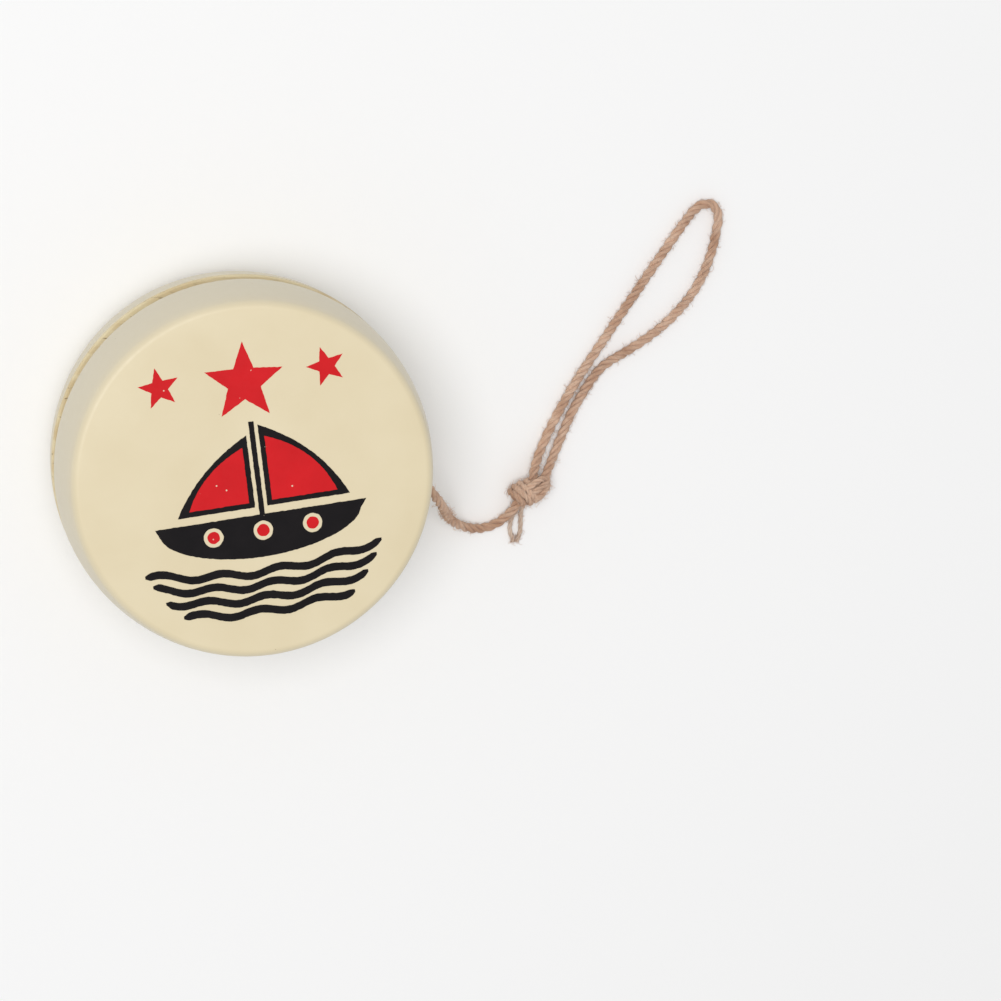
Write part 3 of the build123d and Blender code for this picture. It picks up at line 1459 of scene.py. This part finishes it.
    def tail(self) -> bpy.types.Mesh:
        """The cut end: two legs that stand apart and meet again at a blunt tip.

        Returns:
            The mesh, in place.
        """
        meshes = []
        for side in (-1.0, 1.0):
            route = [
                (48.1 + 0.30 * side, -8.9, 2.0), (47.8 + 0.35 * side, -10.2, 1.3),
                (47.5 + 0.60 * side, -11.3, 0.65), (47.4 + 0.88 * side, -12.7, 0.45),
                (47.4 + 0.88 * side, -14.4, 0.45), (47.5 + 0.46 * side, -15.4, 0.45),
                (47.5 + 0.30 * side, -16.0, 0.45),
            ]
            line = spline_points("tail_route", in_metres(route), 8)
            meshes += self.tail_twine.strands(f"tail_{side}", line, start=side)
        return joined("knot_tail_strands", meshes)


# --------------------------------------------------------------------------------------
# The stage
# --------------------------------------------------------------------------------------


@dataclass
class Stage:
    """A pale surface, soft light and the camera."""

    floor_size: float = 6.0
    floor_room: float = 0.05 * MM
    camera_place: Point = (-74.3 * MM, 103.2 * MM, 499.2 * MM)
    camera_aim: Point = (41.5 * MM, -6.1 * MM, 14.0 * MM)
    lens: float = 116.3
    clip_start: float = 0.01
    key_power: float = 4.95
    key_size: float = 0.6
    key_place: Point = (-0.20, 0.12, 0.92)
    fill_strength: float = 0.50

    def floor(self) -> None:
        """The plain surface under the yo-yo."""
        half, low = self.floor_size / 2, -self.floor_room
        mesh = bpy.data.meshes.new("floor")
        corners = [(x * half, y * half, low) for x, y in ((-1, -1), (1, -1), (1, 1), (-1, 1))]
        mesh.from_pydata(corners, [], [(0, 1, 2, 3)])
        new_piece("floor", mesh, StudioCard().material())

    def light(self) -> None:
        """One large soft key and an even white surround."""
        lamp = bpy.data.lights.new("key", "AREA")
        lamp.shape = "DISK"
        lamp.size = self.key_size
        lamp.energy = self.key_power
        key = bpy.data.objects.new("key", lamp)
        key.location = self.key_place
        toward = Vector(self.camera_aim) - key.location
        key.rotation_euler = toward.to_track_quat("-Z", "Y").to_euler()
        bpy.context.scene.collection.objects.link(key)
        world = bpy.data.worlds.new("surround")
        world.use_nodes = True
        background = world.node_tree.nodes["Background"]
        background.inputs["Color"].default_value = (1.0, 1.0, 1.0, 1.0)
        background.inputs["Strength"].default_value = self.fill_strength
        bpy.context.scene.world = world

    def camera(self) -> None:
        """A long lens above the yo-yo, tilted so that its upper left side shows."""
        ahead = (Vector(self.camera_aim) - Vector(self.camera_place)).normalized()
        up = Vector((1.0, 0.0, 0.0)).cross(ahead).normalized()
        right = ahead.cross(up)
        lens = bpy.data.cameras.new("camera")
        lens.lens = self.lens
        lens.clip_start = self.clip_start
        eye = bpy.data.objects.new("camera", lens)
        turn = Matrix((right, up, -ahead)).transposed().to_4x4()
        eye.matrix_world = Matrix.Translation(self.camera_place) @ turn
        bpy.context.scene.collection.objects.link(eye)
        bpy.context.scene.camera = eye

    def build(self) -> None:
        """Sets the whole stage."""
        self.floor()
        self.light()
        self.camera()
        bpy.context.scene.view_settings.view_transform = "Standard"


def main() -> None:
    """Builds every piece, and reports each through the log."""
    logging.basicConfig(level=logging.INFO, format="%(message)s")
    noise.seed_set(NOISE_SEED)
    Stage().build()
    axle_low, axle_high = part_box("axle")
    middle = (axle_low[2] + axle_high[2]) / 2
    wood = BareWood().material()
    paint = CreamPaint().material()
    cotton = TwistedCotton().material()
    frayed = TwistedCotton("frayed_cotton", (0.80, 0.66, 0.55, 1.0), (0.66, 0.50, 0.39, 1.0))
    pieces = YoyoString(Twine(), middle).build(cotton, frayed.material())
    for half in (TurnedHalf("front_half", True), TurnedHalf("rear_half", False)):
        pieces += [half.core(wood), half.skin(paint)]
    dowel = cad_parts["axle"]
    dowel.data.materials.clear()
    dowel.data.materials.append(wood)
    front_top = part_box("front_half")[1][2]
    red = PrintInk("red_ink", (0.67, 0.007, 0.012, 1.0), (0.60, 0.005, 0.009, 1.0))
    black = PrintInk(
        "black_ink",
        (0.010, 0.008, 0.009, 1.0),
        (0.006, 0.005, 0.006, 1.0),
        pinholes=0.0,
        gloss=0.1,
    )
    pieces += FacePrint(front_top).build(red.material(), black.material())
    for piece in pieces:
        LOG.info("%s: %d faces", piece.name, len(piece.data.polygons))


if __name__ == "__main__":
    main()
